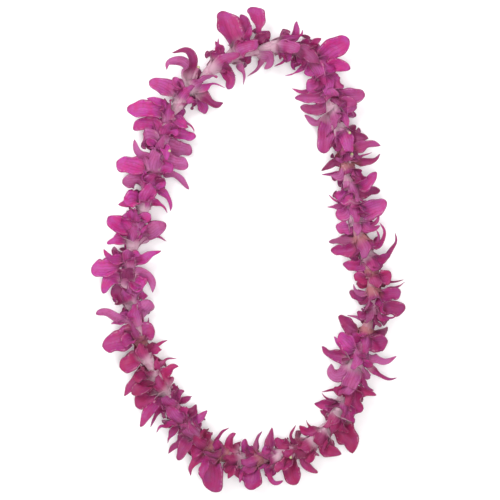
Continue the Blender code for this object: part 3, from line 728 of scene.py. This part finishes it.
def add_tube(piece, strand, throat, number, rng):
    """The blossom's pale base: a ribbed, slightly lopsided tube with a cut end."""
    places, radii = np.transpose(TUBE_OUTLINE)
    steps = np.linspace(places[0], places[-1], TUBE_ROWS)
    angles = around(TUBE_SIDES)
    lopsided = rng.uniform(0, math.tau)
    swell = 1 + BELLY * np.cos(angles - lopsided) * smooth(steps, *BELLY_COMES)[:, None]
    ribs = 1 + RIB_HEIGHT * np.cos(RIBS * angles + lopsided)
    radius = np.interp(steps, places, radii)[:, None] * swell * ribs
    grid = np.stack(np.broadcast_arrays(steps[:, None], radius * np.cos(angles),
                                        radius * np.sin(angles)), axis=-1)
    v = (steps - places[0]) / (places[-1] - places[0])
    tint = (WHITE_TUBE if number in WHITE else USUAL_TUBE,
            SALMON_TUBE if number in SALMON else 0.0, 0.0, TUBE)
    spots = spots_over(angles / math.pi, v)
    piece.shell(strand.laid(grid, throat), TUBE_WALL, spots, (tint, tint), closed=True)


def add_column(piece, strand, throat, place):
    """The column in the throat, with its cream anther cap."""
    end = np.array(place, float)
    outward = unit(end * (0.0, 1.0, 1.0))
    start = COLUMN_FOOT[0] * FORWARD + COLUMN_FOOT[1] * outward
    knee = (start + end) / 2 + COLUMN_BEND * outward
    travel = unit(end - knee)
    side = unit(np.cross(travel, outward))
    t = np.linspace(0.0, 1.0, COLUMN_ROWS)[:, None]
    cap = np.linspace(-1.0, 1.0, COLUMN_ROWS)[:, None]
    rounded = CAP_RADIUS * np.sqrt(np.maximum(1 + CAP_ROUNDING - cap**2, CAP_ROUNDING))
    for line, radii, tint in (
            (bezier(t, start, knee, end), COLUMN_RADIUS + COLUMN_FLARE * t, COLUMN_SKIN),
            (end + (cap * CAP_HALF_LENGTH + CAP_FORWARD) * travel, rounded, (0, 0, 0, CAP))):
        radii = np.broadcast_to(radii, (COLUMN_ROWS, COLUMN_SIDES))
        grid = rings(line, side, np.cross(side, travel), radii)
        piece.tube(strand.laid(grid, throat), tint)


def add_lip(piece, strand, throat, clock, rng):
    """The lip: a folded tongue, with a lobe up either side and a frilled end."""
    v = np.linspace(0.0, 1.0, LIP_ROWS)[:, None]
    u = np.linspace(-1.0, 1.0, LIP_COLUMNS)
    line = bezier(v, *(along * FORWARD + out * way_out(clock) for along, out in LIP_LINE))
    sideways = way_round(clock)
    outer = np.cross(sideways, unit(np.gradient(line, axis=0)))
    lobes = sum(reach * np.exp(-((v - place) / LOBE_SPREAD) ** 2) for reach, place in LIP_LOBES)
    lateral = (lobes + LIP_CORE) * (1 - LIP_TAPER * smooth(v, *TAPERED)) * u
    frill = FRILL * np.sin(FRILL_PACE * u + rng.uniform(0, ANY_PHASE)) * u**2
    gutter = GUTTER * (1 - smooth(v, *GUTTERED)) * lateral**2
    lift = frill * smooth(v, *FRILLED) - gutter
    grid = line[:, None] + sideways * lateral[..., None] + outer[:, None] * lift[..., None]
    spots = spots_over(u, v[:, 0])
    piece.shell(strand.laid(grid, throat), wall(spots), spots, LIP_SKINS)


def blossom(number, strand, throat, tepals, mat):
    """One orchid blossom: tube, six tepals, lip and column, in one piece as it grew."""
    rng = np.random.default_rng(SEED + number)
    piece = Piece()
    add_tube(piece, strand, throat, number, rng)
    for index, tepal in enumerate([*tepals, OUTSIDE][:TEPALS]):
        add_tepal(piece, strand, throat, (number, index), tepal, rng)
    lip_clock = rng.uniform(*LIP_CLOCKS[number % len(LIP_CLOCKS)])
    add_lip(piece, strand, throat, lip_clock, rng)
    add_column(piece, strand, throat, ANTHERS.get(number, HIDDEN_ANTHER))
    tone = 1.0 if number in BRIGHT else -1.0 if number in RUDDY else 0.0
    made = piece.build(f"orchid_{number:02d}", mat, "orchid_petal", tone)
    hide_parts(f"blossom_{number:02d}")


def cord(line, phase, share):
    """A closed length of twisted cord along world points, whose plies turn with the phase."""
    travel = unit(np.gradient(line, axis=0))
    side = unit(np.cross(travel, UP))
    turned = THREAD_PLIES * (around(THREAD_SIDES) - phase[:, None])
    radii = share * (THREAD_RADIUS * (1 + PLY_BULGE * np.cos(turned)))
    piece = Piece()
    piece.tube(rings(line, side, np.cross(side, travel), radii), (0.0, 0.0, 0.0, 0.0))
    return piece


def thread(strand, mat):
    """The thread, from one face of the knot round the loop to the other."""
    clear = KNOT_HALF_LENGTH + KNOT_CLEAR
    along = np.linspace(KNOT_CENTRE + clear, KNOT_CENTRE + strand.total - clear, THREAD_ROWS)
    piece = cord(strand.place(along[:, None] * FORWARD), math.tau * along / PLY_PITCH, 1.0)
    made = piece.build("twisted_thread", mat, "cotton_thread")
    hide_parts("thread")


def thread_knot(strand, mat):
    """The overhand knot of the two ends, drawn up tight: a flattened trefoil."""
    turn = around(KNOT_ROWS)
    loop = np.stack([np.cos(turn) - 2 * np.cos(2 * turn), np.sin(turn) + 2 * np.sin(2 * turn),
                     -np.sin(3 * turn)], axis=-1)
    local = loop * np.divide((KNOT_HALF_LENGTH, KNOT_REACH, KNOT_RISE), TREFOIL)
    piece = cord(strand.place(local + KNOT_CENTRE * FORWARD), KNOT_TWISTS * turn, KNOT_SHARE)
    made = piece.build("overhand_knot", mat, "cotton_thread")
    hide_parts("thread_knot")


class Nodes:
    """Short names for the shader nodes that the materials use."""

    def __init__(self, name):
        self.material = bpy.data.materials.new(name)
        self.material.use_nodes = True
        self.tree = self.material.node_tree
        self.shader = self.tree.nodes["Principled BSDF"]

    def _set(self, socket, value):
        if isinstance(value, bpy.types.NodeSocket):
            self.tree.links.new(value, socket)
        elif socket.type == "RGBA":
            socket.default_value = (*value, 1.0)
        else:
            socket.default_value = value

    def new(self, kind):
        return self.tree.nodes.new("ShaderNode" + kind)

    def attribute(self, name):
        node = self.new("Attribute")
        node.attribute_name = name
        return node

    def split(self, vector):
        node = self.new("SeparateXYZ")
        self._set(node.inputs[0], vector)
        return node.outputs

    def math(self, operation, a, b=0.0):
        node = self.new("Math")
        node.operation = operation
        self._set(node.inputs[0], a)
        self._set(node.inputs[1], b)
        return node.outputs[0]

    def times(self, a, b):
        return self.math("MULTIPLY", a, b)

    def plus(self, a, b):
        return self.math("ADD", a, b)

    def ramp(self, value, low, high, to_low=0.0, to_high=1.0):
        node = self.new("MapRange")
        node.interpolation_type = "SMOOTHSTEP"
        for socket, given in zip(node.inputs[:5], (value, low, high, to_low, to_high)):
            self._set(socket, given)
        return node.outputs[0]

    def mix(self, factor, a, b, blend="MIX"):
        node = self.new("Mix")
        node.data_type = "RGBA"
        node.blend_type = blend
        self._set(node.inputs[0], factor)
        self._set(node.inputs[6], a)
        self._set(node.inputs[7], b)
        return node.outputs[2]

    def noise(self, scale, detail, roughness):
        node = self.new("TexNoise")
        self._set(node.inputs["Vector"], self.new("TexCoord").outputs["Object"])
        for socket, value in (("Scale", scale), ("Detail", detail), ("Roughness", roughness)):
            node.inputs[socket].default_value = value
        return node.outputs[0]

    def bump(self, height, strength, distance):
        node = self.new("Bump")
        node.inputs["Strength"].default_value = strength
        node.inputs["Distance"].default_value = distance
        self._set(node.inputs["Height"], height)
        self._set(self.shader.inputs["Normal"], node.outputs[0])

    def set(self, **sockets):
        for name, value in sockets.items():
            self._set(self.shader.inputs[name.replace("_", " ").title()], value)


class Orchid(Nodes):
    """The blossoms' material, with what its parts read: painted values and noises."""

    def __init__(self, name):
        super().__init__(name)
        self.u, self.v, self.fade = self.split(self.attribute("petal").outputs["Vector"])
        tint = self.attribute("tint")
        self.pale, self.dark, self.back = self.split(tint.outputs["Color"])
        self.kind = tint.outputs["Alpha"]
        self.tone = self.attribute("tone").outputs["Fac"]
        self.side = self.math("ABSOLUTE", self.u)
        self.blotch = self.noise(*BLOTCHES)
        self.fine = self.noise(*FRECKLES)
        self.stray = self.times(self.math("SUBTRACT", self.blotch, 0.5), STRAY)


def petal_skin(n):
    """Petal colour in blotches, with crimson freckles and a painted highlight, a paler sheen, down the
    middle.
    """
    patches = n.ramp(n.blotch, *PATCHES)
    front = n.mix(patches, MAGENTA, PURPLE_PINK)
    vivid = n.mix(patches, BRIGHT_MAGENTA, BRIGHT_PURPLE)
    front = n.mix(n.math("MAXIMUM", n.tone, 0.0), front, vivid)
    rear = n.mix(patches, BACK_PINK, LAVENDER)
    skin = n.mix(n.times(n.back, REAR), front, rear)
    skin = n.mix(n.times(n.pale, PALENESS), skin, LAVENDER)
    skin = n.mix(n.ramp(n.fine, 0.45, 0.75, 0.0, FRECKLING), skin, CRIMSON)
    # Painted highlight: a lavender sheen in patches down the middle of a petal
    painted_sheen = n.times(n.ramp(n.side, 0.75, 0.1), n.ramp(n.fine, 0.35, 0.55))
    painted_sheen = n.times(painted_sheen, n.ramp(n.blotch, 0.40, 0.60, 0.25, 1.0))
    skin = n.mix(n.times(painted_sheen, PAINTED_SHEEN), skin, LAVENDER)
    skin = n.mix(n.times(n.dark, DARKNESS), skin, MAROON)
    ruddy = n.math("MAXIMUM", n.times(n.tone, -1.0), 0.0)
    return n.mix(ruddy, skin, RUDDY_SHADE, "MULTIPLY")


def petal_veins(n):
    """Wandering lines along a petal, with finer ones between them."""
    lines = n.plus(n.times(n.u, VEINS), n.times(n.stray, VEIN_STRAY))
    wave = n.math("SINE", n.times(lines, math.tau))
    vein = n.math("POWER", n.ramp(wave, -0.2, 1.0), 2.0)
    vein = n.times(vein, n.ramp(n.v, 0.02, 0.25))
    vein = n.times(vein, n.ramp(n.v, 1.0, 0.6))
    branch = n.math("SINE", n.times(lines, BRANCHES * math.tau))
    return n.plus(n.times(vein, MAIN_VEINS), n.times(n.ramp(branch, 0, 1), FINE_VEINS))


def faded_root(n, skin):
    """The skin with its root fading to pale or salmon pink."""
    reach = n.plus(n.v, n.times(n.stray, ROOT_STRAY))
    root = n.times(n.ramp(reach, 0.42, 0.08), n.math("ABSOLUTE", n.fade))
    salmon = n.math("LESS_THAN", n.fade, 0.0)
    return n.mix(root, skin, n.mix(salmon, PALE_PINK, SALMON_PINK))


def edged(n, skin):
    """The skin with a painted highlight, a broken pale line near its edge, and a dark rim."""
    # Painted highlight: a broken pale line just inside the edge, where it rolls over
    painted_edge_highlight = n.times(n.ramp(n.side, 0.72, 0.84), n.ramp(n.side, 0.95, 0.88))
    painted_edge_highlight = n.times(painted_edge_highlight, n.ramp(n.fine, 0.47, 0.60))
    skin = n.mix(n.times(painted_edge_highlight, EDGE_HIGHLIGHT), skin, PALE_PINK)
    rim = n.times(n.ramp(n.side, 0.86, 0.97), n.ramp(n.v, 0.2, 0.5))
    rim = n.math("MAXIMUM", rim, n.ramp(n.v, 0.93, 1.0))
    return n.mix(n.times(rim, RIM), skin, MAROON)


def tube_skin(n):
    """Pale pink from the cut end, pinker and streaked towards the throat."""
    tube = n.mix(n.ramp(n.plus(n.v, n.stray), 0.15, 0.75), PALE_PINK, TUBE_PINK)
    tube = n.mix(n.times(n.pale, n.ramp(n.blotch, 0.3, 0.6)), tube, PALE_PINK)
    tube = n.mix(n.times(n.dark, SALMON_SHARE), tube, SALMON_PINK)
    streak = n.math("SINE", n.times(n.plus(n.u, n.stray), STREAKS * math.pi))
    tube = n.mix(n.ramp(streak, 0.2, 1.0, 0.0, STREAKING), tube, TUBE_PINK)
    return n.mix(n.ramp(n.v, 0.10, 0.02), tube, CUT_GREEN)


def petal_material():
    """Orchid petals, tubes and anther caps, told apart by the painted values."""
    n = Orchid("orchid_petal")
    grain = n.noise(*GRAIN)
    vein = petal_veins(n)
    skin = n.mix(n.times(vein, VEINING), petal_skin(n), VEIN)
    skin = edged(n, faded_root(n, skin))
    is_tube = n.math("LESS_THAN", n.math("ABSOLUTE", n.math("SUBTRACT", n.kind, TUBE)), 0.25)
    colour = n.mix(is_tube, skin, tube_skin(n))
    colour = n.mix(n.math("GREATER_THAN", n.kind, 0.75), colour, CREAM)
    n.set(base_color=colour, roughness=n.ramp(grain, 0.2, 0.8, *PETAL_ROUGHNESS),
          subsurface_weight=0.10, subsurface_scale=0.003, subsurface_radius=(1.0, 0.25, 0.55),
          sheen_weight=0.06, sheen_roughness=0.45)
    n.shader.inputs["Specular IOR Level"].default_value = 0.25
    n.bump(n.plus(n.times(grain, GRAIN_RISE), n.times(vein, VEIN_RISE)), *PETAL_BUMP)
    return n.material


def thread_material():
    """Cotton: off-white fibres, with greyer stretches."""
    n = Nodes("cotton_thread")
    fibre = n.noise(*FIBRES)
    cotton = n.mix(n.ramp(fibre, 0.3, 0.7), COTTON, BLEACHED)
    cotton = n.mix(n.ramp(n.noise(*SLUBS), 0.45, 0.8, 0.0, SLUBBING), cotton, SLUB_GREY)
    n.set(base_color=cotton, roughness=n.ramp(fibre, 0.2, 0.8, *COTTON_ROUGHNESS), sheen_weight=0.3)
    n.bump(fibre, *COTTON_BUMP)
    return n.material


def floor_material():
    n = Nodes("pale_floor")
    n.set(base_color=FLOOR_WHITE, roughness=0.9)
    return n.material


def add_floor():
    spots = [(x * FLOOR_HALF, y * FLOOR_HALF, 0) for x, y in ((-1, -1), (1, -1), (1, 1), (-1, 1))]
    mesh = bpy.data.meshes.new("floor")
    mesh.from_pydata(spots, [], [(0, 1, 2, 3)])
    mesh.materials.append(floor_material())
    floor = add_object("floor", mesh)


def add_light():
    """A white sky, and lamps that look at the lei."""
    world = bpy.data.worlds.new("studio")
    world.use_nodes = True
    sky = world.node_tree.nodes["Background"]
    sky.inputs["Color"].default_value = (1.0, 1.0, 1.0, 1.0)
    sky.inputs["Strength"].default_value = SKY_STRENGTH
    bpy.context.scene.world = world
    for name, spot, size, power in LAMPS:
        lamp = bpy.data.lights.new(name, "AREA")
        lamp.size = size
        lamp.energy = power
        made = add_object(name, lamp)
        made.location = spot
        made.rotation_mode = "QUATERNION"
        made.rotation_quaternion = (-Vector(spot)).to_track_quat("-Z", "Y")


def add_camera():
    """A camera straight above, looking down."""
    camera = bpy.data.cameras.new("camera")
    camera.lens = CAMERA_LENS
    camera.clip_end = CAMERA_REACH
    made = add_object("camera", camera)
    made.location = CAMERA_SPOT
    bpy.context.scene.camera = made
    bpy.context.scene.view_settings.view_transform = "Standard"


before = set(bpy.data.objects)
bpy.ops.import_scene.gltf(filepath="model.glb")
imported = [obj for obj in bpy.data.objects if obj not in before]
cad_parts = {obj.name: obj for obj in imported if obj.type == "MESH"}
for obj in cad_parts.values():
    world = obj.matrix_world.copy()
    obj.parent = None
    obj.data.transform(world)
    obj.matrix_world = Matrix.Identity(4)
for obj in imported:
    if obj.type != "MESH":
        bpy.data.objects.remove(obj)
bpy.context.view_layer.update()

strand = Strand(ROUTE)
petals = petal_material()
cotton = thread_material()
for number, (throat, *tepals) in enumerate(BLOSSOMS, start=1):
    blossom(number, strand, throat, tepals, petals)
thread(strand, cotton)
thread_knot(strand, cotton)
add_floor()
add_light()
add_camera()
